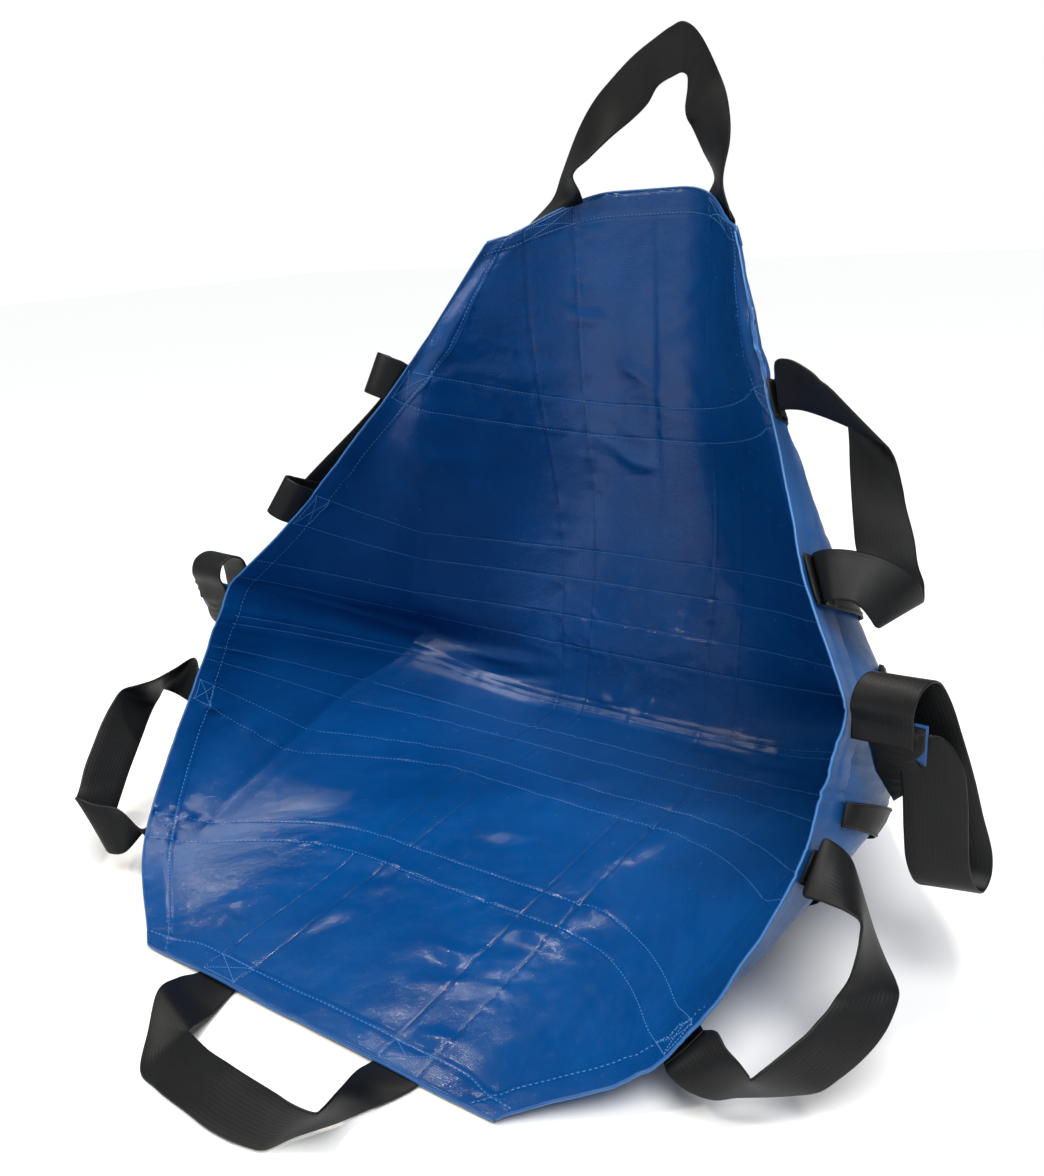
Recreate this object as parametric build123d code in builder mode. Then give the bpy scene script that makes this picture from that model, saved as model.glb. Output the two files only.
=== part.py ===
from build123d import *
import math
import os

# Patient carry seat: a coated fabric sheet folded into a seat and a back, pinched into a
# tuck at each hip, carried by eight webbing handles.
# Millimetres. +Z up, the front of the seat faces -Y, the object is symmetric about X = 0.

# --- driving dimensions -------------------------------------------------------------
SHEET = 1.0            # coated fabric
HEM = 28.0             # width of the folded edge
STRAP = 48.0           # webbing width
STRAP_THICK = 1.5
LAYER_GAP = 0.4        # air between sewn layers
EDGE_GAP = 1.5         # from a sewn layer's edge to the rim
HANDLE_THICK = 2.4
TAB = 30.0             # flat part of a handle between the rim and its loop
TAB_GAP = 8.0
LONG_STRAP_X = 104.0   # half the distance between the two long straps
THREAD = 0.6           # half the width of a line of stitches
STITCH_NEAR = 1.0
STITCH_FAR = 1.6

# depths of the sewn layers, measured outwards from the inner face of the sheet
HEM_NEAR = SHEET + LAYER_GAP
HEM_FAR = HEM_NEAR + SHEET
FIRST_NEAR = HEM_FAR + LAYER_GAP
FIRST_FAR = FIRST_NEAR + STRAP_THICK
SECOND_NEAR = FIRST_FAR + LAYER_GAP
SECOND_FAR = SECOND_NEAR + STRAP_THICK
LIFT = SECOND_FAR      # the seat's inner face lies this high above the floor

# The sheet is a stack of rows that run from rim to rim. A row is placed by its distance
# along the middle of the sheet. Each has: that distance, the middle point (y, z), the
# point of the fold between the floor or back and the side wall (x, y, z), the rim point
# (x, y, z), and the half width that stays flat before the sides rise.
ROWS = [
    (-421, (-421, 0), (168, -421, 0), (199, -421, 0), 150),          # front edge
    (-193, (-193, 0), (268, -288, 22), (305, -330, 45), 130),        # front cross strap
    (0, (0, 0), (298, -118, 46), (350, -212, 146), 130),             # middle cross strap
    (97, (97, 0), (316, 4, 60), (352, -184, 178), 130),              # in front of the hips
    (185, (183, 6), (308, 104, 74), (354, -160, 210), 130),          # lap seam
    (215, (194, 30), (303, 136, 90), (355, -135, 241), 120),         # hip pinch
    (289, (207, 102), (286, 102, 150), (345, -121, 257), 90),        # behind the hips
    (379, (229, 189), (258, 90, 236), (295, -64, 320), 60),          # lower back cross strap
    (475, (237, 284), (234, 64, 330), (258, -16, 386), 50),
    (571, (232, 380), (202, 56, 438), (220, 33, 452), 40),           # upper back cross strap
    (832, (226, 641), (130, 155, 603), (151, 128, 596), 40),         # top edge
]
FRONT = ROWS[0][0]
TOP = ROWS[-1][0]
PINCH = 5              # the row of the hip pinch, where the rim turns a sharp corner
SIDE_POWER = 2.0       # how sharply the floor and back rise towards the fold

STRAP_G, STRAP_F, STRAP_E = ROWS[1][0], ROWS[2][0], ROWS[3][0]
STRAP_C, STRAP_B, STRAP_A = ROWS[6][0], ROWS[7][0], ROWS[9][0]
SEAM_FRONT = 172       # the sheet between these two distances is the soft band that
SEAM_BACK = 232        # bends when the back tilts
BAND_GAP = 0.5
CURVE_GAP = 1.0        # extra air behind the back's long straps, which lie on a curve

# the seat's cross straps lie over its long straps, the back's lie under them
CROSS_STRAPS = {
    "front_cross_strap": (STRAP_G, SECOND_NEAR),
    "middle_cross_strap": (STRAP_F, SECOND_NEAR),
    "hip_front_cross_strap": (STRAP_E, SECOND_NEAR),
    "hip_rear_cross_strap": (STRAP_C, FIRST_NEAR),
    "lower_back_cross_strap": (STRAP_B, FIRST_NEAR),
    "upper_back_cross_strap": (STRAP_A, FIRST_NEAR),
}

# every layer is drawn on the same grid, so that sewn layers stay parallel
FLOOR_FRACTIONS = [0, 0.42, 0.56, 0.7, 0.85, 1]    # from the middle to the fold
GRID_ROWS = sorted(
    [place + step for place, _ in CROSS_STRAPS.values() for step in (-STRAP / 2, 0, STRAP / 2)]
    + [FRONT + HEM, -350, -300, -110, 140, 200, 215, 330, 430, 475, 520, 640, 700, 760, TOP - HEM]
)
PARTS = []


def keep(part, label):
    part.part.label = label
    PARTS.append(part.part)


# --- the sheet's surface ------------------------------------------------------------
def blend(a, b, c, d, t):
    """Catmull-Rom value between b and c."""
    return b + 0.5 * t * (c - a + t * (2 * a - 5 * b + 4 * c - d + t * (3 * (b - c) + d - a)))


def row_at(v):
    """Middle point, fold point, rim point and flat half width of the row at distance v."""
    i = max(k for k in range(len(ROWS) - 1) if ROWS[k][0] <= v or k == 0)
    t = (v - ROWS[i][0]) / (ROWS[i + 1][0] - ROWS[i][0])
    before = i if i in (0, PINCH) else i - 1
    after = i + 1 if i + 1 in (PINCH, len(ROWS) - 1) else i + 2
    rows = [ROWS[k] for k in (before, i, i + 1, after)]
    middle, fold, rim = [
        [blend(*(r[point][k] for r in rows), t) for k in range(len(rows[0][point]))]
        for point in (1, 2, 3)
    ]
    middle[1] = max(0.0, middle[1])
    fold[2] = max(0.0, fold[2])
    flat = rows[1][4] + (rows[2][4] - rows[1][4]) * t
    return middle, fold, rim, flat


def surface(x, v):
    """Point on the sheet's inner face, x to the side on the row at distance v."""
    (my, mz), (fx, fy, fz), (rx, ry, rz), flat = row_at(v)
    if abs(x) <= fx:
        rise = max(0.0, (abs(x) - flat) / (fx - flat)) ** SIDE_POWER
        return Vector(x, my + (fy - my) * rise, mz + (fz - mz) * rise + LIFT)
    up = (abs(x) - fx) / (rx - fx)
    return Vector(x, fy + (ry - fy) * up, fz + (rz - fz) * up + LIFT)


def rim_x(v):
    return row_at(v)[2][0]


def from_rim(v, distance):
    """x at a distance inside the rim, measured up the side wall."""
    _, fold, rim, _ = row_at(v)
    wall = (Vector(*rim) - Vector(*fold)).length
    return rim[0] - (rim[0] - fold[0]) * distance / wall


def layer_point(x, v, depth):
    """Point at a depth outside the sheet's inner face."""
    step = 0.5
    across = surface(x + step, v) - surface(x - step, v)
    low = max(FRONT, v - step)
    high = min(TOP, v + step)
    along = surface(x, high) - surface(x, low)
    outwards = along.cross(across).normalized()
    return surface(x, v) + outwards * depth


def patch_faces(grid):
    """Triangles over a grid of points."""
    faces = []
    for low, high in zip(grid, grid[1:]):
        for a, b, c, d in zip(low, low[1:], high[1:], high):
            faces.append(Face(Wire.make_polygon([a, b, c])))
            faces.append(Face(Wire.make_polygon([a, c, d])))
    return faces


def shell(columns, rows, near, far):
    """A thin solid between two depths; columns(v) lists the x values of a row."""
    inner = [[layer_point(x, v, near) for x in columns(v)] for v in rows]
    outer = [[layer_point(x, v, far) for x in columns(v)] for v in rows]
    faces = patch_faces(inner) + patch_faces(outer)
    for edge in (0, -1):
        faces += patch_faces([inner[edge], outer[edge]])
        faces += patch_faces([[row[edge] for row in inner], [row[edge] for row in outer]])
    add(Solid(Shell(faces)))


def rows_between(low, high):
    """The grid rows strictly between two distances, with the two ends."""
    return [low] + [v for v in GRID_ROWS if low + 1 < v < high - 1] + [high]


def full_width(gap=0.0):
    """Columns from rim to rim, stopping a gap short of it."""
    def columns(v):
        fold = row_at(v)[1][0]
        hem = from_rim(v, HEM)
        right = [fold * f for f in FLOOR_FRACTIONS[1:]]
        right += [(fold + hem) / 2, hem, from_rim(v, HEM / 2), from_rim(v, gap)]
        return [-x for x in reversed(right)] + [0.0] + right
    return columns


def rim_strip(side):
    """Columns of the folded edge along one rim."""
    def columns(v):
        return sorted(side * from_rim(v, d) for d in (HEM, HEM / 2, EDGE_GAP))
    return columns


def upright_strip(centre):
    def columns(v):
        return [centre - STRAP / 2, centre, centre + STRAP / 2]
    return columns


# --- sheets and hems ----------------------------------------------------------------
with BuildPart() as seat_sheet:
    shell(full_width(), rows_between(FRONT, SEAM_FRONT), 0, SHEET)
keep(seat_sheet, "seat_sheet")

with BuildPart() as hip_seam_band:
    rows = rows_between(SEAM_FRONT + BAND_GAP, SEAM_BACK - BAND_GAP)
    shell(full_width(), rows, 0, SHEET)
keep(hip_seam_band, "hip_seam_band")

with BuildPart() as back_sheet:
    shell(full_width(), rows_between(SEAM_BACK, TOP), 0, SHEET)
keep(back_sheet, "back_sheet")

with BuildPart() as front_hem:
    shell(full_width(EDGE_GAP), rows_between(FRONT, FRONT + HEM), HEM_NEAR, HEM_FAR)
keep(front_hem, "front_hem")

with BuildPart() as top_hem:
    shell(full_width(EDGE_GAP), rows_between(TOP - HEM, TOP), HEM_NEAR, HEM_FAR)
keep(top_hem, "top_hem")

for side, name in ((-1, "left"), (1, "right")):
    with BuildPart() as seat_rim_hem:
        rows = rows_between(FRONT + HEM + EDGE_GAP, SEAM_FRONT)
        shell(rim_strip(side), rows, HEM_NEAR, HEM_FAR)
    keep(seat_rim_hem, f"seat_rim_hem_{name}")
    with BuildPart() as back_rim_hem:
        rows = rows_between(SEAM_BACK, TOP - HEM - EDGE_GAP)
        shell(rim_strip(side), rows, HEM_NEAR, HEM_FAR)
    keep(back_rim_hem, f"back_rim_hem_{name}")

# --- straps sewn to the outer face --------------------------------------------------
for name, (place, near) in CROSS_STRAPS.items():
    with BuildPart() as cross_strap:
        rows = rows_between(place - STRAP / 2, place + STRAP / 2)
        shell(full_width(EDGE_GAP), rows, near, near + STRAP_THICK)
    keep(cross_strap, name)

for side, name in ((-1, "left"), (1, "right")):
    columns = upright_strip(side * LONG_STRAP_X)
    with BuildPart() as seat_long_strap:
        rows = rows_between(FRONT + EDGE_GAP, SEAM_FRONT)
        shell(columns, rows, FIRST_NEAR, FIRST_FAR)
    keep(seat_long_strap, f"seat_long_strap_{name}")
    with BuildPart() as back_long_strap:
        rows = rows_between(SEAM_BACK, TOP - EDGE_GAP)
        shell(columns, rows, SECOND_NEAR + CURVE_GAP, SECOND_FAR + CURVE_GAP)
    keep(back_long_strap, f"back_long_strap_{name}")

# --- hip tucks: the sheet's fold stands out past the rim at each hip ------------------
TUCK_TOP = Vector(361, -135, 241 + LIFT)
TUCK_DOWN = Vector(0, 0.25, -0.97)


def tuck_plane(side):
    """Plane of the tuck: x outwards, y down the fold, z towards the front."""
    corner = Vector(side * TUCK_TOP.X, TUCK_TOP.Y, TUCK_TOP.Z)
    out = Vector(side, 0, 0)
    return Plane(origin=corner, x_dir=out, z_dir=out.cross(TUCK_DOWN))


def tuck_layer(side, outline, near, far):
    with BuildSketch(tuck_plane(side).offset(near)) as profile:
        with BuildLine():
            Polyline(*outline, close=True)
        make_face()
    extrude(profile.sketch, amount=far - near)


TUCK_OUTLINE = [(0, 0), (57, 0), (55, 55), (30, 84), (12, 70), (0, 30)]
PATCH_OUTLINE = [(5, 2), (53, 2), (52, 52), (30, 76), (14, 64), (5, 34)]
for side, name in ((-1, "left"), (1, "right")):
    fore = -side           # the tuck plane's normal points back on the left, forward on the right
    for layer, sign in (("front", fore), ("rear", -fore)):
        near, far = sorted((sign * 0.2, sign * (0.2 + SHEET)))
        with BuildPart() as hip_tuck:
            tuck_layer(side, TUCK_OUTLINE, near, far)
        keep(hip_tuck, f"hip_tuck_{layer}_{name}")
        near, far = sorted((sign * 1.4, sign * (1.4 + STRAP_THICK)))
        with BuildPart() as hip_strap_end:
            tuck_layer(side, PATCH_OUTLINE, near, far)
        keep(hip_strap_end, f"hip_strap_{layer}_{name}")


# --- box stitching on the inner face, one outline for each strap end -----------------
def box_stitch(side, place, inner=25.0, outer=5.0):
    """Four threads round the end of a cross strap, on the inner face of the sheet."""
    def line(distances, rows):
        def columns(v):
            return sorted(side * from_rim(v, d) for d in distances)
        shell(columns, rows, -STITCH_FAR, -STITCH_NEAR)

    reach = STRAP / 2 - 4
    for distance in (inner, outer):
        line((distance - THREAD, distance + THREAD), [place - reach, place, place + reach])
    for v in (place - reach, place + reach):
        line((inner - 2, outer + 2), [v - THREAD, v + THREAD])


def end_stitch(side, rim_row, inward):
    """Four threads round the end of a long strap; inward is the way into the sheet."""
    centre = side * LONG_STRAP_X
    reach = STRAP / 2 - 4
    ends = sorted([rim_row + inward * 4, rim_row + inward * 24])
    for x in (centre - reach, centre + reach):
        shell(lambda v: [x - THREAD, x + THREAD], ends, -STITCH_FAR, -STITCH_NEAR)
    for v in ends:
        columns = [centre - reach + 2, centre + reach - 2]
        shell(lambda row: columns, [v - THREAD, v + THREAD], -STITCH_FAR, -STITCH_NEAR)


for side, name in ((-1, "left"), (1, "right")):
    stitched = {"lower_side": (STRAP_G, STRAP_F), "upper_side": (STRAP_B, STRAP_A)}
    for place_name, places in stitched.items():
        with BuildPart() as stitching:
            for place in places:
                box_stitch(side, place)
        keep(stitching, f"{place_name}_stitching_{name}")

for label, rim_row, inward in (("front_stitching", FRONT, 1), ("top_stitching", TOP, -1)):
    with BuildPart() as stitching:
        for side in (-1, 1):
            end_stitch(side, rim_row, inward)
    keep(stitching, label)


# --- handles ------------------------------------------------------------------------
def handle_plane(root_a, root_b, out):
    """Plane of a handle's loop: x along the rim, y outwards."""
    along = (root_b - root_a).normalized()
    return Plane(origin=(root_a + root_b) / 2, x_dir=along, z_dir=along.cross(out))


def handle(plane, half, crown, reach, low, high):
    """A loop of webbing on edge, on two flat tabs that leave the rim.

    half is half the distance between the tabs, crown half the width of the loop's outer
    run, low and high the loop's two edges along the plane's normal.
    """
    with BuildSketch(plane.offset(low)) as loop:
        with BuildLine():
            FilletPolyline(
                (-half, TAB - HANDLE_THICK), (-half, TAB + 16), (-crown, reach),
                (crown, reach), (half, TAB + 16), (half, TAB - HANDLE_THICK), radius=14,
            )
        trace(line_width=HANDLE_THICK)
    extrude(loop.sketch, amount=high - low)
    with BuildSketch(plane) as tabs:
        with Locations((-half, (TAB + TAB_GAP) / 2), (half, (TAB + TAB_GAP) / 2)):
            Rectangle(STRAP, TAB - TAB_GAP)
    extrude(tabs.sketch, amount=HANDLE_THICK / 2, both=True)


def rim_point(side, v):
    return layer_point(side * rim_x(v), v, (FIRST_NEAR + FIRST_FAR) / 2)


FRONT_ROOT = Vector(LONG_STRAP_X, FRONT, 0.2 + HANDLE_THICK / 2)
with BuildPart() as front_handle:
    plane = handle_plane(FRONT_ROOT - Vector(2 * LONG_STRAP_X, 0, 0), FRONT_ROOT, Vector(0, -1, 0))
    normal_up = plane.z_dir.Z
    edges = sorted([-normal_up * 1.2, normal_up * 49])
    handle(plane, LONG_STRAP_X, 62, 112, *edges)
keep(front_handle, "front_handle")

with BuildPart() as top_handle:
    root = layer_point(98, TOP, (SECOND_NEAR + SECOND_FAR) / 2)
    plane = handle_plane(Vector(-root.X, root.Y, root.Z), root, Vector(0, -0.12, 1))
    handle(plane, 98, 22, 172, -24, 24)
keep(top_handle, "top_handle")

SIDE_LOOPS = {
    "lower_side": (STRAP_G, STRAP_F, Vector(0.98, -0.1, -0.1), 60, 122),
    "upper_side": (STRAP_B, STRAP_A, Vector(1, 0, -0.05), 60, 116),
}
for side, name in ((-1, "left"), (1, "right")):
    for place_name, (place_a, place_b, out, crown, reach) in SIDE_LOOPS.items():
        roots = [rim_point(side, place_a), rim_point(side, place_b)]
        plane = handle_plane(*roots, Vector(side * out.X, out.Y, out.Z))
        with BuildPart() as side_handle:
            handle(plane, (roots[1] - roots[0]).length / 2, crown, reach, -24, 24)
        keep(side_handle, f"{place_name}_handle_{name}")

HIP_PIVOT = TUCK_TOP + Vector(29, 0, 4)
HIP_LOOP = 150         # from the roll on the tuck's edge to the bottom of the hanging loop
HIP_ROLL = 11          # radius of the roll
HIP_LEAN = 28          # how far the loop hangs back from straight down, degrees
for side, name in ((-1, "left"), (1, "right")):
    lean = math.radians(HIP_LEAN)
    pivot = Vector(side * HIP_PIVOT.X, HIP_PIVOT.Y, HIP_PIVOT.Z)
    hanging = Vector(0, math.sin(lean), -math.cos(lean))
    centre = pivot + Vector(0, HIP_ROLL + 8, 2)
    plane = Plane(origin=centre, x_dir=hanging, z_dir=(1, 0, 0)).offset(-STRAP / 2)
    with BuildPart() as hip_handle:
        with BuildSketch(plane):
            with Locations((HIP_LOOP / 2, 0)):
                SlotCenterToCenter(HIP_LOOP, 2 * HIP_ROLL)
                offset(amount=-HANDLE_THICK, mode=Mode.SUBTRACT)
        extrude(amount=STRAP)
    keep(hip_handle, f"hip_handle_{name}")

os.makedirs("parts", exist_ok=True)
for part in PARTS:
    export_step(part, f"parts/{part.label}.step")
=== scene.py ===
import math

import bpy
import numpy as np
from mathutils import Matrix, Vector


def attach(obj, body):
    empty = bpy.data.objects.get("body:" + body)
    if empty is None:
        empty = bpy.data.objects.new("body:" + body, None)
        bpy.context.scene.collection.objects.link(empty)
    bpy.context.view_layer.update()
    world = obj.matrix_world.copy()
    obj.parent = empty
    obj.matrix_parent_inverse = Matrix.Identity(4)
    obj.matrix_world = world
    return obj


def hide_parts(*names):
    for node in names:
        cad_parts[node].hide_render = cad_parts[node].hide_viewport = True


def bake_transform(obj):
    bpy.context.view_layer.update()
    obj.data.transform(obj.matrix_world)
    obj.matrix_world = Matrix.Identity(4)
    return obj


# A patient carry seat. The coated sheet is one surface, drawn row by row from rim to
# rim, and everything sewn on follows it. Lengths below are millimetres on the flat
# sheet: x to the side, v along the middle from the front edge to the top edge.
MM = 0.001

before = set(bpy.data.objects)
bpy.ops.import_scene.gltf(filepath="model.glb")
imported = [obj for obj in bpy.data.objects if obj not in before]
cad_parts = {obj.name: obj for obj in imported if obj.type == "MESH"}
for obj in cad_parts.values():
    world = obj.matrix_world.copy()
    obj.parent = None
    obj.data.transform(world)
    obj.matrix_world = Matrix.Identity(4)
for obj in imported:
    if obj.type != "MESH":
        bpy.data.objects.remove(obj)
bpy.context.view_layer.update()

# --- the sheet ------------------------------------------------------------------------
ROWS = [  # v, middle (y, z), fold (x, y, z), rim (x, y, z), half width that stays flat
    (-421, (-421, 0), (168, -421, 0), (199, -421, 0), 150),
    (-193, (-193, 0), (268, -288, 22), (305, -330, 45), 130),
    (0, (0, 0), (298, -118, 46), (350, -212, 146), 130),
    (97, (97, 0), (316, 4, 60), (352, -184, 178), 130),
    (185, (183, 6), (308, 104, 74), (354, -160, 210), 130),
    (215, (194, 30), (303, 136, 90), (355, -135, 241), 120),
    (289, (207, 102), (286, 102, 150), (345, -121, 257), 90),
    (379, (229, 189), (258, 90, 236), (295, -64, 320), 60),
    (475, (237, 284), (234, 64, 330), (258, -16, 386), 50),
    (571, (232, 380), (202, 56, 438), (220, 33, 452), 40),
    (832, (226, 641), (130, 155, 603), (151, 128, 596), 40),
]
FRONT, TOP, PINCH = -421.0, 832.0, 5
LIFT = 6.2              # the inner face lies this far above the straps beneath it
HIP, LAP = 185.0, 13.0  # v of the lap seam across the hips, and half its width
STRAP, HEM = 48.0, 28.0
SHEET_THICK, STRAP_THICK, HANDLE_THICK = 1.0, 1.5, 2.4
STITCH_IN = 4.0         # a row of stitches lies this far inside a strap's edge
LONG_X = 104.0          # middle of a long strap
LONG_OUTER = LONG_X + STRAP / 2
CROSS = {               # strap name: (v, depth of its near face, how far short of the rim)
    "front_cross_strap": (-193.0, 4.7, 1.0),
    "middle_cross_strap": (0.0, 4.7, 1.0),
    "hip_front_cross_strap": (97.0, 4.7, 26.0),
    "hip_rear_cross_strap": (289.0, 2.8, 75.0),
    "lower_back_cross_strap": (379.0, 2.8, 1.0),
    "upper_back_cross_strap": (571.0, 2.8, 1.0),
}
ROOTS = {               # v of a side handle's two sewn ends, first and last
    "seat": (0.0, -193.0),
    "back": (571.0, 379.0),
}
SEAM = (181.0, 190.0)   # the lap seam's two rows of stitches

V = np.array([r[0] for r in ROWS], float)
TABLE = np.array([[*r[1], *r[2], *r[3], r[4]] for r in ROWS], float)


def slopes(values, places):
    """Slope of each column at each place, from its neighbours."""
    gap = np.diff(places)[:, None]
    rise = np.diff(values, axis=0) / gap
    middle = (rise[:-1] * gap[1:] + rise[1:] * gap[:-1]) / (gap[1:] + gap[:-1])
    return np.vstack([rise[:1], middle, rise[-1:]])


SLOPE = slopes(TABLE, V)
BELOW = slopes(TABLE[: PINCH + 1], V[: PINCH + 1])
ABOVE = slopes(TABLE[PINCH:], V[PINCH:])


def hermite(t, length, ends, rates):
    """Cubic between two ends with the given rates of change."""
    return (
        (2 * t**3 - 3 * t**2 + 1) * ends[0]
        + (t**3 - 2 * t**2 + t) * length * rates[0]
        + (3 * t**2 - 2 * t**3) * ends[1]
        + (t**3 - t**2) * length * rates[1]
    )


def row_at(v):
    """Middle y and z, fold x, y and z, rim x, y and z, flat half width at each v."""
    v = np.clip(np.asarray(v, float), FRONT, TOP)
    i = np.clip(np.searchsorted(V, v, side="right") - 1, 0, len(V) - 2)
    h = V[i + 1] - V[i]
    t = ((v - V[i]) / h)[..., None]
    low, high = SLOPE[i].copy(), SLOPE[i + 1].copy()
    # the rim turns a corner at the hip pinch, the middle doesn't
    low[i == PINCH, 5:8] = ABOVE[0, 5:8]
    high[i + 1 == PINCH, 5:8] = BELOW[-1, 5:8]
    out = hermite(t, h[..., None], (TABLE[i], TABLE[i + 1]), (low, high))
    out[..., 1] = np.maximum(out[..., 1], 0)
    return out


ROUND = 16.0            # how far the fold at the foot of a side wall is rounded
BELLY = [               # v, how far the side wall swells out there
    (-193, 0), (0, 30), (97, 40), (185, 40), (289, 38), (379, 32), (475, 22), (571, 12), (832, 4),
]
LEFT_BELLY = -0.35      # the left wall swells less, and towards negative x


def section(x, r):
    """Points of the row's section at x, sharp at the fold."""
    my, mz, fx, fy, fz, rx, ry, rz, flat = np.moveaxis(r, -1, 0)
    a = np.abs(x)
    rise = np.maximum(0.0, (np.minimum(a, fx) - flat) / (fx - flat)) ** 2
    up = np.maximum(0.0, (a - fx) / (rx - fx))
    y = my + (fy - my) * rise + (ry - fy) * up
    z = mz + (fz - mz) * rise + (rz - fz) * up
    return np.stack([x, y, z + LIFT], -1)


def belly(x, v, r):
    """How far a side wall swells outwards between its fold and its rim."""
    up = np.clip((np.abs(x) - r[..., 2]) / (r[..., 5] - r[..., 2]), 0, 1)
    size = np.interp(v, *zip(*BELLY))
    return size * np.sin(math.pi * up**1.25) ** 1.3 * np.where(x < 0, LEFT_BELLY, 1.0)


def smooth(sheet):
    """The sheet's inner face without its relief, for arrays of x and v, in mm."""
    x, v = np.broadcast_arrays(*(np.asarray(p, float) for p in sheet))
    r = row_at(v)
    fx, rx = r[..., 2], r[..., 5]
    total = section(x, r) * 2
    # averaging with points to both sides rounds the fold
    wall = np.linalg.norm(r[..., 5:8] - r[..., 2:5], axis=-1)
    reach_in = np.minimum(ROUND, wall * 0.5)
    reach_out = reach_in * (rx - fx) / wall
    a, s = np.abs(x), np.where(x < 0, -1.0, 1.0)
    near = np.clip(1 - np.abs(a - fx) / np.where(a < fx, reach_in, reach_out), 0, 1)
    inner = section(s * (a - near * reach_in), r)
    outer = section(s * (a + near * reach_out), r)
    middle = (inner * reach_out[..., None] + outer * reach_in[..., None]) / (reach_in + reach_out)[..., None]
    rounded = total / 2 + (middle - total / 2) * (near * near)[..., None] * 0.5
    swell = belly(x, v, r)
    return rounded + np.stack([swell, np.abs(swell) * 0.2, 0 * swell], -1)


def outward(x, v):
    """Unit normal of the smooth sheet, pointing away from the sitter."""
    across = smooth((x + 1.0, v)) - smooth((x - 1.0, v))
    low, high = np.maximum(v - 1.0, FRONT), np.minimum(v + 1.0, TOP)
    n = np.cross(smooth((x, high)) - smooth((x, low)), across)
    return n / np.linalg.norm(n, axis=-1, keepdims=True)


def rim_x(v):
    """x of the right rim."""
    return row_at(v)[..., 5]


def wall_length(v):
    """Height of a side wall from its fold to its rim, measured up the wall."""
    r = row_at(v)
    return np.linalg.norm(r[..., 5:8] - r[..., 2:5], axis=-1)


def from_rim(v, distance):
    """x at a distance inside the rim, measured up the side wall."""
    r = row_at(v)
    return r[..., 5] - (r[..., 5] - r[..., 2]) * distance / wall_length(v)


# --- relief ---------------------------------------------------------------------------
def waves(a, b, seed, sizes, count=9):
    """Smooth noise between about -1 and 1."""
    rng = np.random.default_rng(seed)
    total = np.zeros(np.broadcast(a, b).shape)
    for _ in range(count):
        turn = rng.uniform(0, 2 * math.pi)
        length = rng.uniform(*sizes)
        shift = rng.uniform(0, 2 * math.pi)
        total += np.sin((a * math.cos(turn) + b * math.sin(turn)) * 2 * math.pi / length + shift)
    return total / math.sqrt(count)


def step(value, low, high):
    """Smooth step from 0 at low to 1 at high."""
    t = np.clip((value - low) / (high - low), 0, 1)
    return t * t * (3 - 2 * t)


def band(distance, half, edge=3.0):
    """1 within half of a line, falling to 0 over edge."""
    return 1 - step(np.abs(distance), half - edge / 2, half + edge / 2)


def groove(distance, width=1.6):
    """1 on a line, falling away smoothly over a width to both sides."""
    return np.exp(-((distance / width) ** 2))


def puckers(distance, along, seed):
    """Small gathers across a row of stitches, in patches."""
    reach = groove(distance, 8.0)
    patch = step(waves(along, distance * 0.1, seed + 100, (90, 260), 5), -0.1, 1.1)
    return reach * (0.25 + 1.9 * patch) * waves(along, distance * 0.25, seed, (8, 24), 6)


def line_distance(x, v, points):
    """Distance to a polyline on the flat sheet, and how far along it, 0 to 1."""
    best = np.full(np.broadcast(x, v).shape, 1e9)
    where = np.zeros_like(best)
    points = np.array(points, float)
    lengths = np.linalg.norm(np.diff(points, axis=0), axis=1)
    run = np.concatenate([[0], np.cumsum(lengths)]) / lengths.sum()
    for k in range(len(points) - 1):
        a, d = points[k], points[k + 1] - points[k]
        t = np.clip(((x - a[0]) * d[0] + (v - a[1]) * d[1]) / (d @ d), 0, 1)
        gap = np.hypot(x - a[0] - t * d[0], v - a[1] - t * d[1])
        nearer = gap < best
        best = np.where(nearer, gap, best)
        where = np.where(nearer, run[k] + t * (run[k + 1] - run[k]), where)
    return best, where


# soft folds: (points on the flat sheet, height inwards, half width)
FOLDS = [
    ([(-353, 207), (-325, 206), (-292, 200)], -6.0, 7),
    ([(353, 207), (325, 206), (292, 200)], -6.0, 7),
    ([(-350, 230), (-320, 228), (-290, 222)], 3.0, 12),
    ([(-288, 202), (-236, 222), (-150, 236)], 7.0, 11),
    ([(-260, 190), (-200, 203), (-130, 222)], -3.0, 6),
    ([(5, 832), (5, 650), (4, 460)], -1.8, 5),
    ([(16, 832), (16, 650), (15, 480)], 1.6, 8),
    ([(-95, 694), (-55, 690)], 3.0, 9),
    ([(-45, 645), (4, 616)], 3.2, 9),
    ([(-72, 550), (-30, 524), (5, 511)], 3.2, 9),
    ([(-40, 500), (4, 508)], -2.0, 6),
    ([(-34, 198), (-18, 238)], 3.5, 9),
    ([(6, 190), (16, 226)], 3.0, 7),
    ([(-68, 207), (-40, 201)], 2.4, 6),
    ([(50, 172), (115, 179), (182, 169), (258, 163)], 3.0, 7),
    ([(60, 160), (150, 156), (250, 150)], -1.8, 6),
    ([(-185, -224), (-92, -213), (-25, -207)], 3.2, 11),
    ([(74, -233), (118, -232), (165, -240)], 3.4, 11),
    ([(30, -287), (85, -294)], 3.0, 10),
    ([(92, -382), (146, -373)], 2.6, 9),
    ([(-85, -340), (-72, -276)], 2.4, 13),
    ([(122, -98), (156, -12)], 2.4, 13),
    ([(-344, 12), (-330, -66)], 3.0, 12),
    ([(-40, -120), (20, -96)], 2.0, 12),
    ([(-160, 40), (-120, 70)], 2.0, 14),
    ([(210, -60), (262, -120)], 2.0, 14),
]


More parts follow.
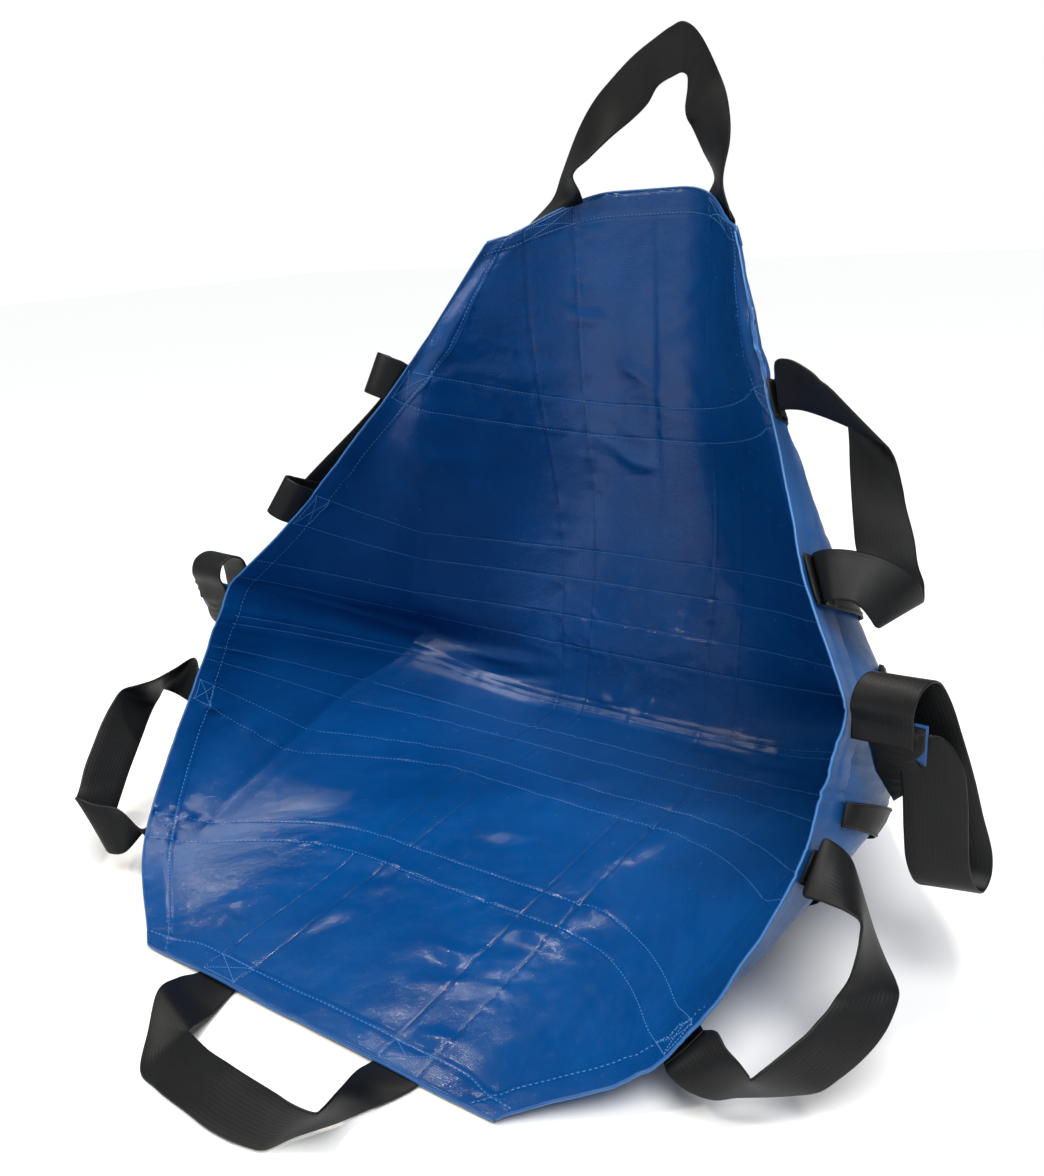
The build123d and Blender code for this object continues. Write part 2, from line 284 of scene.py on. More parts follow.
def relief(x, v):
    """Height of the inner face above its smooth shape, towards the sitter, in mm."""
    a = np.abs(x)
    hem = from_rim(v, HEM)
    height = 1.3 * waves(x, v, 3, (150, 420))
    crumpled = step(waves(x, v, 8, (120, 300), 6), 0.0, 1.2)
    height += (0.25 + 0.9 * crumpled) * waves(x, v, 4, (30, 85))
    for seed, sizes, high in ((12, (60, 140), 0.9), (13, (30, 70), 0.6)):
        ridge = np.maximum(0, 1 - 1.6 * np.abs(waves(x, v, seed, sizes, 6))) ** 2
        height += (0.15 + 0.9 * crumpled) * ridge * high
    for k, (place, *_) in enumerate(CROSS.values()):
        height += 0.25 * band(v - place, STRAP / 2, 8)
        for edge in (-1, 1):
            d = v - place - edge * (STRAP / 2 - STITCH_IN)
            height += -0.6 * groove(d) + 0.45 * puckers(d, x, 20 + 2 * k + edge)
    for side in (-1, 1):
        height += 0.25 * band(x - side * LONG_X, STRAP / 2, 8)
        for edge in (-1, 1):
            d = x - side * LONG_X - edge * (STRAP / 2 - STITCH_IN)
            height += -0.6 * groove(d) + 0.35 * puckers(d, v, 40 + side + 3 * edge)
    for place in SEAM:
        height += -0.6 * groove(v - place) + 0.6 * puckers(v - place, x, 51)
    height += 0.9 * band(v - HIP, LAP)
    inside = (a - hem) * wall_length(v) / (rim_x(v) - row_at(v)[..., 2])
    for d, along, seed in ((inside, v, 61), (FRONT + HEM - v, x, 62), (v - TOP + HEM, x, 63)):
        height += 0.8 * step(d, -1.5, 1.5) - 0.7 * groove(d - 3)
        height += 0.45 * puckers(d, along, seed)
    for points, size, width in FOLDS:
        d, where = line_distance(x, v, points)
        height += size * groove(d, width) * np.sin(math.pi * (where * 0.9 + 0.05))
    return height


def face(x, v, depth):
    """Point of the real sheet in metres; depth goes outwards from its inner face."""
    x, v = np.broadcast_arrays(np.asarray(x, float), np.asarray(v, float))
    n = outward(x, v)
    return (smooth((x, v)) + n * (np.asarray(depth)[..., None] - relief(x, v)[..., None])) * MM


# --- meshes ---------------------------------------------------------------------------
def mesh_object(name, points, faces, materials, uv=None, slots=None):
    """A mesh of points in metres; slots are material indices, one for each face."""
    mesh = bpy.data.meshes.new(name)
    mesh.from_pydata(np.asarray(points).tolist(), [], faces)
    for m in materials:
        mesh.materials.append(m)
    mesh.polygons.foreach_set("use_smooth", [True] * len(mesh.polygons))
    if slots is not None:
        mesh.polygons.foreach_set("material_index", slots)
    if uv is not None:
        layer = mesh.uv_layers.new(name="cloth")
        index = np.empty(len(mesh.loops), int)
        mesh.loops.foreach_get("vertex_index", index)
        layer.data.foreach_set("uv", np.asarray(uv, np.float32)[index].ravel())
    mesh.update()
    obj = bpy.data.objects.new(name, mesh)
    bpy.context.scene.collection.objects.link(obj)
    return obj


def quads(rows, columns, start=0, flip=False, wrap=False):
    """Faces of a grid of points, row after row."""
    i, j = np.meshgrid(np.arange(rows - 1), np.arange(columns if wrap else columns - 1), indexing="ij")
    k = (j + 1) % columns
    faces = np.stack([i * columns + j, i * columns + k, (i + 1) * columns + k, (i + 1) * columns + j], -1)
    faces = faces.reshape(-1, 4) + start
    return (faces[:, ::-1] if flip else faces).tolist()


def slab(rows, columns):
    """Faces of a closed slab: a near grid of points, a far grid, and the rim between."""
    count = rows * columns
    faces = quads(rows, columns) + quads(rows, columns, count, flip=True)
    edge = list(range(columns)) + [i * columns + columns - 1 for i in range(1, rows)]
    edge += [(rows - 1) * columns + j for j in range(columns - 2, -1, -1)]
    edge += [i * columns for i in range(rows - 2, 0, -1)]
    for a, b in zip(edge, edge[1:] + edge[:1]):
        faces.append([b, a, a + count, b + count])
    return faces


def run_along(points):
    """Length from the first point to each point of a path."""
    return np.concatenate([[0], np.cumsum(np.linalg.norm(np.diff(points, axis=0), axis=1))])


def spaced(low, high, pitch, marks=()):
    """Values from low to high about a pitch apart, closer beside each mark."""
    values = set(np.round(np.linspace(low, high, max(2, int((high - low) / pitch) + 1)), 3))
    for m in marks:
        values = {v for v in values if abs(v - m) > 3.6 or v in (round(low, 3), round(high, 3))}
        values |= {round(m + d, 3) for d in (-3.4, -1.6, 0, 1.6, 3.4) if low < m + d < high}
    return np.array(sorted(values))


def strap_edges(place):
    """Both edges of a strap and both its rows of stitches."""
    reach = STRAP / 2
    return [place - reach, place - reach + STITCH_IN, place + reach - STITCH_IN, place + reach]


def sheet_grid():
    """x and v of the sheet's vertices, closer beside stitches, hems and rims."""
    marks = [m for place, *_ in CROSS.values() for m in strap_edges(place)]
    marks += [*SEAM, HIP + LAP, FRONT + HEM, FRONT + HEM + 3, TOP - HEM, TOP - HEM - 3]
    v = spaced(FRONT, TOP, 4.5, marks)
    middle = spaced(0, LONG_OUTER, 5.0, strap_edges(LONG_X)[:3])
    hem = np.array([HEM, 26.4, 24.6, 23, 21, 17, 12, 7, 3, 1, 0])
    rows = []
    for place in v:
        r = row_at(place)
        fold = r[2]
        floor_part = LONG_OUTER + (fold - LONG_OUTER) * np.linspace(0, 1, 30)[1:]
        rest = fold + (from_rim(place, HEM) - fold) * np.linspace(0, 1, 36)[1:-1] ** 1.15
        rows.append(np.concatenate([middle, floor_part, rest, from_rim(place, hem)]))
    right = np.array(rows)
    x = np.concatenate([-right[:, :0:-1], right], axis=1)
    return x, np.repeat(v[:, None], x.shape[1], 1)


def cloth_uv(x, v):
    """Length along the sheet from the middle, and v, in metres."""
    p = smooth((x, v))
    gaps = np.linalg.norm(np.diff(p, axis=1), axis=2)
    run = np.concatenate([np.zeros((len(x), 1)), np.cumsum(gaps, axis=1)], 1)
    run -= run[:, x.shape[1] // 2][:, None]
    return np.stack([run * MM, v * MM], -1).reshape(-1, 2)


def build_sheet(inside, outside):
    """The coated sheet, closed, with its inner face first."""
    x, v = sheet_grid()
    n, m = x.shape
    near = face(x, v, 0.0).reshape(-1, 3)
    far = face(x, v, SHEET_THICK).reshape(-1, 3)
    faces = slab(n, m)
    uv = np.tile(cloth_uv(x, v), (2, 1))
    slots = [0] * ((n - 1) * (m - 1)) + [1] * (len(faces) - (n - 1) * (m - 1))
    return mesh_object("coated_sheet", np.vstack([near, far]), faces, [inside, outside], uv, slots=slots)


# cross-section of webbing: across from -1 to 1, and 0 to 1 through its thickness
WEBBING = [
    (-1, 0.5), (-0.985, 0.15), (-0.93, 0), (-0.5, 0.03), (0, 0.05), (0.5, 0.03), (0.93, 0), (0.985, 0.15),
    (1, 0.5), (0.985, 0.85), (0.93, 1), (0.5, 0.97), (0, 0.95), (-0.5, 0.97), (-0.93, 1), (-0.985, 0.85),
]
ACROSS, THROUGH = np.array(WEBBING).T


def strip(name, rings, width, material):
    """A closed band through rings of points, n x k x 3 in metres."""
    n, k = rings.shape[:2]
    faces = quads(n, k, wrap=True) + [list(range(k))[::-1], [(n - 1) * k + j for j in range(k)]]
    run = run_along(rings.mean(axis=1))
    across = ACROSS if k == len(WEBBING) else np.linspace(-1, 1, k)
    uv = np.stack([np.repeat(run, k), np.tile(across * width / 2, n)], -1)
    return mesh_object(name, rings.reshape(-1, 3), faces, [material], uv)


def plain(x, v, depth):
    """Point of the smooth sheet in metres, without relief."""
    x, v, depth = np.broadcast_arrays(*(np.asarray(p, float) for p in (x, v, depth)))
    return (smooth((x, v)) + outward(x, v) * depth[..., None]) * MM


def cross_strap(name, place, near, short, material):
    """A strap across the outer face, from near one rim to near the other."""
    v = place + ACROSS * STRAP / 2
    x = np.linspace(-1, 1, 261)[:, None] * from_rim(v, short)[None, :]
    rings = plain(x, v[None, :], near + THROUGH[None, :] * STRAP_THICK)
    return strip(name, rings, STRAP * MM, material)


def long_strap(name, side, material):
    """A strap along the outer face, above the seat's cross straps and behind the back's."""
    v = np.linspace(FRONT + HEM + 1, TOP - 1, 321)[:, None]
    near = 2.8 + 2.9 * step(v, 190, 250)
    x = side * (LONG_X + ACROSS[None, :] * STRAP / 2)
    return strip(name, plain(x, v, near + THROUGH[None, :] * STRAP_THICK), STRAP * MM, material)


# cross-section of a folded hem: distance inside the rim, depth
HEM_RING = [
    (28, 1.15), (14, 1.1), (1, 1.1), (0.5, 0.3), (0.4, -0.35), (-0.5, -0.45), (-1.3, -0.05), (-1.7, 0.7),
    (-1.7, 1.5), (-1.2, 2.1), (-0.3, 2.4), (3, 2.4), (14, 2.35), (27.5, 2.3), (28.2, 1.8),
]
RING_IN, RING_DEPTH = np.array(HEM_RING, float).T[:, None, :]


def past_edge(inner, edge, distance):
    """A point on from edge, away from inner, by a distance in mm."""
    way = edge - inner
    way /= np.linalg.norm(way, axis=-1, keepdims=True)
    return edge + way * distance[..., None] * MM


def side_hem(name, side, materials):
    """The hem folded over a rim, from the front edge to the top edge."""
    v = spaced(FRONT, TOP, 5.0)[:, None]
    d = RING_IN
    x = side * from_rim(v, np.maximum(d, 0))
    depth = np.broadcast_to(RING_DEPTH, x.shape)
    inner = face(side * from_rim(v, np.full(d.shape, 2.0)), v, depth)
    rim = face(side * rim_x(v) * np.ones(d.shape), v, depth)
    beyond = past_edge(inner, rim, np.maximum(-d, 0))
    rings = np.where((d < 0)[..., None], beyond, face(x, v, depth))
    return hem_strip(name, rings if side > 0 else rings[:, ::-1], materials, side < 0)


def end_hem(name, edge, materials):
    """The hem folded over the front or top edge, lifted over the side hems at its ends."""
    inward = 1 if edge == FRONT else -1
    d = RING_IN
    v = edge + inward * np.maximum(d, 0)
    share = np.linspace(-1, 1, 121)[:, None]
    x = share * (rim_x(v) - 0.6)
    corner = 1.35 * step((1 - np.abs(share)) * rim_x(edge), 30, 25)
    depth = RING_DEPTH + corner * (RING_DEPTH > 0.6)
    rings = face(x, np.broadcast_to(v, x.shape), depth)
    at = np.full(x.shape, edge)
    inner = face(x, at + inward * 2.0, depth)
    beyond = past_edge(inner, face(x, at, depth), np.maximum(-d, 0) * np.ones(x.shape))
    rings = np.where((d < 0)[..., None], beyond, rings)
    return hem_strip(name, rings if inward < 0 else rings[:, ::-1], materials, inward > 0)


def hem_strip(name, rings, materials, flipped):
    """A hem whose rolled edge carries a painted highlight, with its lower part bare where that is given."""
    obj = strip(name, rings, HEM * MM, materials[0])
    obj.data.materials.append(materials[1])
    k = len(HEM_RING)
    # slot 1 is a painted highlight along the outermost faces of the rolled bead
    bead = {j: 1 for j in range(k) if HEM_RING[j][0] < -1.5}
    if len(materials) > 2:
        obj.data.materials.append(materials[2])
        bead.update({j: 2 for j in range(k) if HEM_RING[j][0] < 0 and HEM_RING[j][1] > 1.4})
    index = np.zeros(len(obj.data.polygons), int)
    for i in range(len(rings) - 1):
        for j, slot in bead.items():
            index[i * k + ((k - 2 - j) if flipped else j) % k] = slot
    obj.data.polygons.foreach_set("material_index", index.tolist())
    return obj


# --- stitches -------------------------------------------------------------------------
def stitch_rows(name, rows, material, pitch=4.6, length=3.0, radius=0.42):
    """Separate stitches along rows of points; a row is (points, normals) in metres."""
    starts, ends, ups = [], [], []
    for points, normals in rows:
        run = run_along(points)
        count = int(run[-1] / (pitch * MM))
        at = (np.arange(count) + 0.5) * run[-1] / max(count, 1)
        for which, offset in ((starts, -length / 2), (ends, length / 2)):
            s = at + offset * MM
            which.append(np.stack([np.interp(s, run, points[:, k]) for k in range(3)], -1))
        n = np.stack([np.interp(at, run, normals[:, k]) for k in range(3)], -1)
        ups.append(n / np.linalg.norm(n, axis=1, keepdims=True))
    a, b, up = np.vstack(starts), np.vstack(ends), np.vstack(ups)
    way = b - a
    way /= np.linalg.norm(way, axis=1, keepdims=True)
    sideways = np.cross(up, way)
    sideways /= np.linalg.norm(sideways, axis=1, keepdims=True)
    lift = radius * MM
    sides = 5
    rings = [a - up * lift * 0.6]
    turns = np.arange(sides) * 2 * math.pi / sides
    for share, size, high in ((0.1, 0.75, 0.1), (0.5, 1.0, 0.75), (0.9, 0.75, 0.1)):
        centre = a + (b - a) * share + up * lift * high
        for turn in turns:
            rings.append(centre + (sideways * math.cos(turn) + up * math.sin(turn)) * lift * size)
    rings.append(b - up * lift * 0.6)
    points = np.stack(rings, 1)
    last = 3 * sides + 1
    one = [[0, 1 + (k + 1) % sides, 1 + k] for k in range(sides)]
    for r in (1, 1 + sides):
        for k in range(sides):
            beside = (k + 1) % sides
            one.append([r + k, r + beside, r + sides + beside, r + sides + k])
    one += [[last, last - sides + k, last - sides + (k + 1) % sides] for k in range(sides)]
    faces = [[c + i * (last + 1) for c in f] for i in range(len(points)) for f in one]
    return mesh_object(name, points.reshape(-1, 3), faces, [material])


def seam_row(x, v, depth):
    """A row of stitches on the sheet at a depth; a negative depth is the inner face."""
    x, v = np.broadcast_arrays(np.asarray(x, float), np.asarray(v, float))
    n = outward(x, v)
    if depth < 0:
        return face(x, v, 0.0), -n
    return plain(x, v, depth), n


def strap_rows(place, short, depth):
    """Both rows of stitches along a cross strap."""
    rows = []
    for edge in (-1, 1):
        v = place + edge * (STRAP / 2 - STITCH_IN)
        reach = float(from_rim(v, short))
        rows.append(seam_row(np.linspace(-reach, reach, 500), v, depth))
    return rows


def upright_rows():
    """The rows of stitches along the long straps, on the inner face."""
    v = np.linspace(FRONT + 3, TOP - 3, 400)
    return [
        seam_row(side * LONG_X + edge * (STRAP / 2 - STITCH_IN), v, -1)
        for side in (-1, 1) for edge in (-1, 1)
    ]


def hem_rows():
    """The row of stitches along each rim hem, on the inner face."""
    v = np.linspace(FRONT + 3, TOP - 3, 400)
    return [seam_row(side * from_rim(v, HEM - 3), v, -1) for side in (-1, 1)]


def box_rows(corner, far, place):
    """Box stitching with a cross between two corners; place turns them into x and v."""
    (a, b), (c, d) = corner, far
    corners = [(a, b), (c, b), (c, d), (a, d)]
    rows = []
    for p, q in ((0, 1), (1, 2), (2, 3), (3, 0), (0, 2), (1, 3)):
        p, q = corners[p], corners[q]
        t = np.linspace(0, 1, 24)
        x, v = place(p[0] + (q[0] - p[0]) * t, p[1] + (q[1] - p[1]) * t)
        rows.append(seam_row(x, v, -1))
    return rows


# --- handles --------------------------------------------------------------------------
def curve(keys, count):
    """Edge points of a band along a smooth curve through keys, six numbers each."""
    keys = np.array(keys, float)
    places = np.concatenate([[0], np.cumsum(np.linalg.norm(np.diff(keys, axis=0), axis=1) ** 0.6)])
    rate = slopes(keys, places)
    fine = np.linspace(0, places[-1], 2400)
    i = np.clip(np.searchsorted(places, fine, side="right") - 1, 0, len(keys) - 2)
    h = (places[i + 1] - places[i])[:, None]
    t = (fine - places[i])[:, None] / h
    dense = hermite(t, h, (keys[i], keys[i + 1]), (rate[i], rate[i + 1]))
    run = run_along(dense)
    at = np.linspace(0, run[-1], count)
    return np.stack([np.interp(at, run, dense[:, k]) for k in range(6)], -1)


def webbing(name, keys, material):
    """A band of webbing between two edges; a key is a point on each edge, in mm."""
    path = curve(keys, 260)
    centre, half = (path[:, :3] + path[:, 3:]) / 2, (path[:, 3:] - path[:, :3]) / 2
    along = np.gradient(centre, axis=0)
    normal = np.cross(along, half)
    normal /= np.linalg.norm(normal, axis=1, keepdims=True)
    # neighbours share their normals a little, which keeps a fold from tearing
    for _ in range(3):
        normal[1:-1] = normal[:-2] + 2 * normal[1:-1] + normal[2:]
        normal /= np.linalg.norm(normal, axis=1, keepdims=True)
    across = ACROSS[None, :, None]
    through = ((THROUGH - 0.5) * HANDLE_THICK)[None, :, None]
    rings = (centre[:, None] + half[:, None] * across + normal[:, None] * through) * MM
    return strip(name, rings, STRAP * MM, material)


def rim_frame(side, v):
    """A point on the rim, the way along it, the way past it and the way outwards."""
    r = row_at(v)
    flip = np.array([side, 1, 1])
    edge = r[5:8] * flip + (0, 0, LIFT)
    past = (r[5:8] - r[2:5]) * flip
    past /= np.linalg.norm(past)
    along = (row_at(v + 5.0)[5:8] - row_at(v - 5.0)[5:8]) * flip
    along -= past * (along @ past)
    along /= np.linalg.norm(along)
    return edge, along, past, np.cross(past, along) * -side


def sewn_end(side, v, turn, depth):
    """Edge points of a handle's sewn end, on the outer face beside the rim."""
    rows = []
    for d in (25, 12):
        ends = [(side * from_rim(v + k * STRAP / 2, d), v + k * STRAP / 2) for k in (turn, -turn)]
        rows.append(np.concatenate([plain(*end, depth).reshape(3) / MM for end in ends]).tolist())
    return rows


def beside_rim(side, v, turn, places):
    """Edge points of a handle's leg; a place is past the rim and outwards, in mm."""
    edge, along, past, out = rim_frame(side, v)
    across = along * STRAP / 2 * turn
    centres = [edge + past * b + out * c for b, c in places]
    return [[*(p + across), *(p - across)] for p in centres]


# --- materials ------------------------------------------------------------------------
def node(tree, kind, inputs=(), **settings):
    """A shader node; an input is a value, or another node's output to link."""
    n = tree.nodes.new(kind)
    for name, value in settings.items():
        setattr(n, name, value)
    for name, value in dict(inputs).items():
        if isinstance(value, bpy.types.NodeSocket):
            tree.links.new(value, n.inputs[name])
        else:
            n.inputs[name].default_value = value
    return n


def new_material(name):
    """A material, its node tree and its shader."""
    m = bpy.data.materials.new(name)
    m.use_nodes = True
    return m, m.node_tree, m.node_tree.nodes["Principled BSDF"]


WAVE_METRE = 2 * math.pi / 20    # scale of a wave texture that repeats once in a metre
RIB_WAVES = 0.314 / 0.0034       # scale for the ribs of webbing, about 3.4 mm apart
TWILL_WAVES = 0.314 / 0.0012     # scale for its twill, about 1.2 mm apart


def weave(tree, pitch_m):
    """Height of a plain weave from the cloth's own UV, which is in metres."""
    uv = node(tree, "ShaderNodeUVMap", uv_map="cloth").outputs["UV"]
    inputs = {"Vector": uv, "Scale": WAVE_METRE / pitch_m, "Distortion": 0.0}
    threads = [
        node(tree, "ShaderNodeTexWave", inputs, bands_direction=d)
        for d in ("X", "Y")
    ]
    both = node(tree, "ShaderNodeMath", operation="MAXIMUM")
    for k in range(2):
        tree.links.new(threads[k].outputs["Fac"], both.inputs[k])
    return uv, both.outputs[0]


def mottle(tree, factor, dark, light, spread=0.2):
    """Colour between dark and light by a factor near a half."""
    ramp = node(tree, "ShaderNodeValToRGB", {"Fac": factor})
    for stop, place, colour in zip(ramp.color_ramp.elements, (0.5 - spread, 0.5 + spread), (dark, light)):
        stop.position = place
        stop.color = (*colour, 1)
    return ramp.outputs["Color"]


def scaled(colour, share):
    """A colour made darker or lighter."""
    return tuple(share * c for c in colour)


def bump(tree, height, strength, distance, under=None):
    """Normals for a height, on top of the normals under it."""
    inputs = {"Height": height, "Strength": strength, "Distance": distance}
    if under is not None:
        inputs["Normal"] = under
    return node(tree, "ShaderNodeBump", inputs).outputs["Normal"]


def coated(name, dark, light, rough):
    """Coated cloth: a weave under the coating, fine crumples and patches of wear."""
    m, tree, shader = new_material(name)
    uv, height = weave(tree, 0.0019)
    noise = [
        node(tree, "ShaderNodeTexNoise", {"Vector": uv, "Scale": scale, "Detail": detail, "Roughness": 0.6})
        for scale, detail in ((9.0, 5.0), (55.0, 4.0))
    ]
    cloud, fine = (n.outputs["Fac"] for n in noise)
    tree.links.new(mottle(tree, cloud, dark, light, 0.18), shader.inputs["Base Color"])
    wear = node(tree, "ShaderNodeMapRange", {
        "Value": fine, "From Min": 0.3, "From Max": 0.7, "To Min": rough - 0.05, "To Max": rough + 0.12,
    })
    tree.links.new(wear.outputs["Result"], shader.inputs["Roughness"])
    cloth = bump(tree, height, 0.3, 0.0005)
    tree.links.new(bump(tree, fine, 0.35, 0.0022, cloth), shader.inputs["Normal"])
    shader.inputs["Specular IOR Level"].default_value = 0.42
    return m


def webbed(name, colour, rough=0.5):
    """Woven webbing: ribs along it and a twill across them."""
    m, tree, shader = new_material(name)
    uv = node(tree, "ShaderNodeUVMap", uv_map="cloth").outputs["UV"]
    ribs = node(tree, "ShaderNodeTexWave", {
        "Vector": uv, "Scale": RIB_WAVES, "Distortion": 0.0,
    }, bands_direction="Y")
    turned = node(tree, "ShaderNodeMapping", {"Vector": uv, "Rotation": (0, 0, math.radians(38))})
    twill = node(tree, "ShaderNodeTexWave", {
        "Vector": turned.outputs["Vector"], "Scale": TWILL_WAVES, "Distortion": 0.3,
    }, bands_direction="X")
    cloud = node(tree, "ShaderNodeTexNoise", {"Vector": uv, "Scale": 30.0, "Detail": 4.0}).outputs["Fac"]
    colours = scaled(colour, 0.75), scaled(colour, 1.35)
    tree.links.new(mottle(tree, cloud, *colours), shader.inputs["Base Color"])
    threads = bump(tree, twill.outputs["Fac"], 0.3, 0.0002)
    tree.links.new(bump(tree, ribs.outputs["Fac"], 0.2, 0.0003, threads), shader.inputs["Normal"])
    shader.inputs["Roughness"].default_value = rough
    shader.inputs["Specular IOR Level"].default_value = 0.25
    return m


def plain_material(name, colour, rough):
    """A fine, even mottle of one colour."""
    m, tree, shader = new_material(name)
    cloud = node(tree, "ShaderNodeTexNoise", {"Scale": 400.0, "Detail": 3.0}).outputs["Fac"]
    colours = scaled(colour, 0.8), scaled(colour, 1.2)
    tree.links.new(mottle(tree, cloud, *colours), shader.inputs["Base Color"])
    shader.inputs["Roughness"].default_value = rough
    return m


INSIDE = coated("coated_inside", (0.0006, 0.041, 0.170), (0.0010, 0.057, 0.222), 0.16)
# the outer face is a lighter blue than the inner: painted sheen, the haze of light on it
OUTSIDE_PAINTED_SHEEN = coated("coated_outside_painted_sheen", (0.006, 0.066, 0.225), (0.010, 0.086, 0.28), 0.4)
# a lighter blue painted along the rolled rims as a highlight
RIM_HIGHLIGHT = plain_material("painted_rim_highlight", (0.03, 0.16, 0.42), 0.4)
BACKING = plain_material("bare_backing", (0.30, 0.29, 0.25), 0.8)
BLACK = webbed("black_webbing", (0.0038, 0.0043, 0.0052))
THREAD_BLUE = plain_material("blue_thread", (0.055, 0.21, 0.50), 0.5)
THREAD_NAVY = plain_material("navy_thread", (0.001, 0.010, 0.055), 0.6)
THREAD_BLACK = plain_material("black_thread", (0.02, 0.02, 0.022), 0.5)


# --- the object -----------------------------------------------------------------------
def across_fold(obj, slot_name, *nodes):
    """A piece across the fold where the back meets the seat: its placement is baked into its points and it
    joins no body.
    """
    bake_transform(obj)
    if nodes:
        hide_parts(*nodes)
    return obj


def fixed(obj, body, slot_name, *nodes):
    """A piece that moves with one body."""
    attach(obj, body)
    if nodes:
        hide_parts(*nodes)
    return obj


sheet = build_sheet(INSIDE, OUTSIDE_PAINTED_SHEEN)
across_fold(sheet, "coated_sheet", "seat_sheet", "hip_seam_band", "back_sheet")
for side, name in ((-1, "left"), (1, "right")):
    hem = side_hem(f"rim_hem_{name}", side, [OUTSIDE_PAINTED_SHEEN, RIM_HIGHLIGHT])
    across_fold(hem, "coated_sheet", f"seat_rim_hem_{name}", f"back_rim_hem_{name}")
    strap = long_strap(f"long_strap_{name}", side, BLACK)
    across_fold(strap, "strap_webbing", f"seat_long_strap_{name}", f"back_long_strap_{name}")
hem = end_hem("front_fold", FRONT, [OUTSIDE_PAINTED_SHEEN, RIM_HIGHLIGHT, BACKING])
fixed(hem, "seat", "coated_sheet", "front_hem")
hem = end_hem("top_fold", TOP, [OUTSIDE_PAINTED_SHEEN, RIM_HIGHLIGHT])
fixed(hem, "back", "coated_sheet", "top_hem")
for name, (place, near, short) in CROSS.items():
    strap = cross_strap(f"{name}_webbing", place, near, short, BLACK)
    if name == "hip_rear_cross_strap":
        across_fold(strap, "strap_webbing", name)
    else:
        fixed(strap, "seat" if place < HIP else "back", "strap_webbing", name)

for body in ("seat", "back"):
    straps = [c for c in CROSS.values() if (c[0] < HIP) == (body == "seat")]
    inner = [row for place, _, _ in straps for row in strap_rows(place, 2, -1)]
    outer = [row for place, near, short in straps for row in strap_rows(place, short + 2, near + STRAP_THICK)]
    for label, rows, thread in (("inside", inner, THREAD_BLUE), ("outside", outer, THREAD_BLACK)):
        stitches = stitch_rows(f"{body}_thread_{label}", rows, thread)
        fixed(stitches, "seat", "thread") if body == "seat" else across_fold(stitches, "thread")
across_fold(stitch_rows("long_thread_inside", upright_rows(), THREAD_NAVY), "thread")
along = hem_rows()
for place in SEAM:
    reach = float(rim_x(place)) - 3
    along.append(seam_row(np.linspace(-reach, reach, 500), place, -1))
across_fold(stitch_rows("seam_thread_inside", along, THREAD_BLUE), "thread")
ends = []
for edge, inward in ((FRONT, 1), (TOP, -1)):
    v = edge + inward * (HEM - 3)
    reach = float(rim_x(v)) - 3
    ends.append(seam_row(np.linspace(-reach, reach, 400), v, -1))
fixed(stitch_rows("front_hem_thread", ends[:1], THREAD_BLUE), "seat", "thread")
fixed(stitch_rows("top_hem_thread", ends[1:], THREAD_BLUE), "back", "thread")

# box stitching at the handles' ends
BOX = 20.0              # half of a box's width
for side, name in ((-1, "left"), (1, "right")):
    for label, body in (("lower", "seat"), ("upper", "back")):
        rows = []
        for place in sorted(ROOTS[body]):
            rows += box_rows((26, place - BOX), (4, place + BOX), lambda d, v: (side * from_rim(v, d), v))
        boxes = stitch_rows(f"{label}_side_boxes_{name}", rows, THREAD_BLUE, pitch=2.6, length=2.0)
        fixed(boxes, body, "thread", f"{label}_side_stitching_{name}")
for label, edge, inward, body in (("front", FRONT, 1, "seat"), ("top", TOP, -1, "back")):
    rows = []
    for side in (-1, 1):
        x = side * LONG_X
        rows += box_rows((x - BOX, edge + inward * 3), (x + BOX, edge + inward * 25), lambda x, v: (x, v))
    boxes = stitch_rows(f"{label}_boxes", rows, THREAD_BLUE, pitch=2.6, length=2.0)
    fixed(boxes, body, "thread", f"{label}_stitching")

# --- tucks ----------------------------------------------------------------------------
TUCK_CORNER = np.array([361.0, -135.0, 241.0 + LIFT])
TUCK_DOWN = np.array([0.0, 0.25, -0.97])
TUCK_DOWN /= np.linalg.norm(TUCK_DOWN)
TUCK_FRONT = np.cross(TUCK_DOWN, (1.0, 0, 0))
TUCK_HIGH = 84.0


def tuck_point(side, a, b, off):
    """a outwards, b down, off towards the front, in mm."""
    a, b, off = (np.asarray(q, float)[..., None] for q in (a, b, off))
    p = TUCK_CORNER + np.array([1.0, 0, 0]) * a + TUCK_DOWN * b + TUCK_FRONT * off
    return p * np.array([side, 1, 1]) * MM


def tuck_layer(name, side, near, far, shrink, material, bulge):
    """One layer of a tuck between two depths, drawn in by shrink from the whole."""
    b = np.linspace(shrink, TUCK_HIGH - shrink * 1.6, 42)[:, None]
    left = np.interp(b, [0, 12, 30, 55, TUCK_HIGH], [0, 6, 12, 16, 30]) + shrink
    notch = 3 * shrink * groove(b - 34, 6)
    right = np.interp(b, [0, 55, TUCK_HIGH], [57, 55, 31]) - shrink * 0.8 - notch
    s = np.linspace(0, 1, 26)[None, :]
    arch = np.sin(math.pi * s)
    a = left + (right - left) * s
    b = np.broadcast_to(b, a.shape)
    swell = bulge * arch * np.sin(math.pi * b / TUCK_HIGH)
    swell += 0.35 * waves(a, b * 2.2, 5 + side, (12, 34), 7)
    for crease in (31, 39, 53):
        swell += bulge * 0.7 * groove(b - crease - 0.1 * a) * arch
    swell += bulge * 0.5 * (1 - step(b, 10, 18)) * waves(a, b, 9 + side, (5, 12), 7)
    n, m = a.shape
    fore = tuck_point(side, a, b, far + swell).reshape(-1, 3)
    back = tuck_point(side, a, b, near + swell * 0.6).reshape(-1, 3)
    uv = np.stack([a.ravel(), b.ravel()], -1) * MM
    return mesh_object(name, np.vstack([fore, back]), slab(n, m), [material], np.tile(uv, (2, 1)))


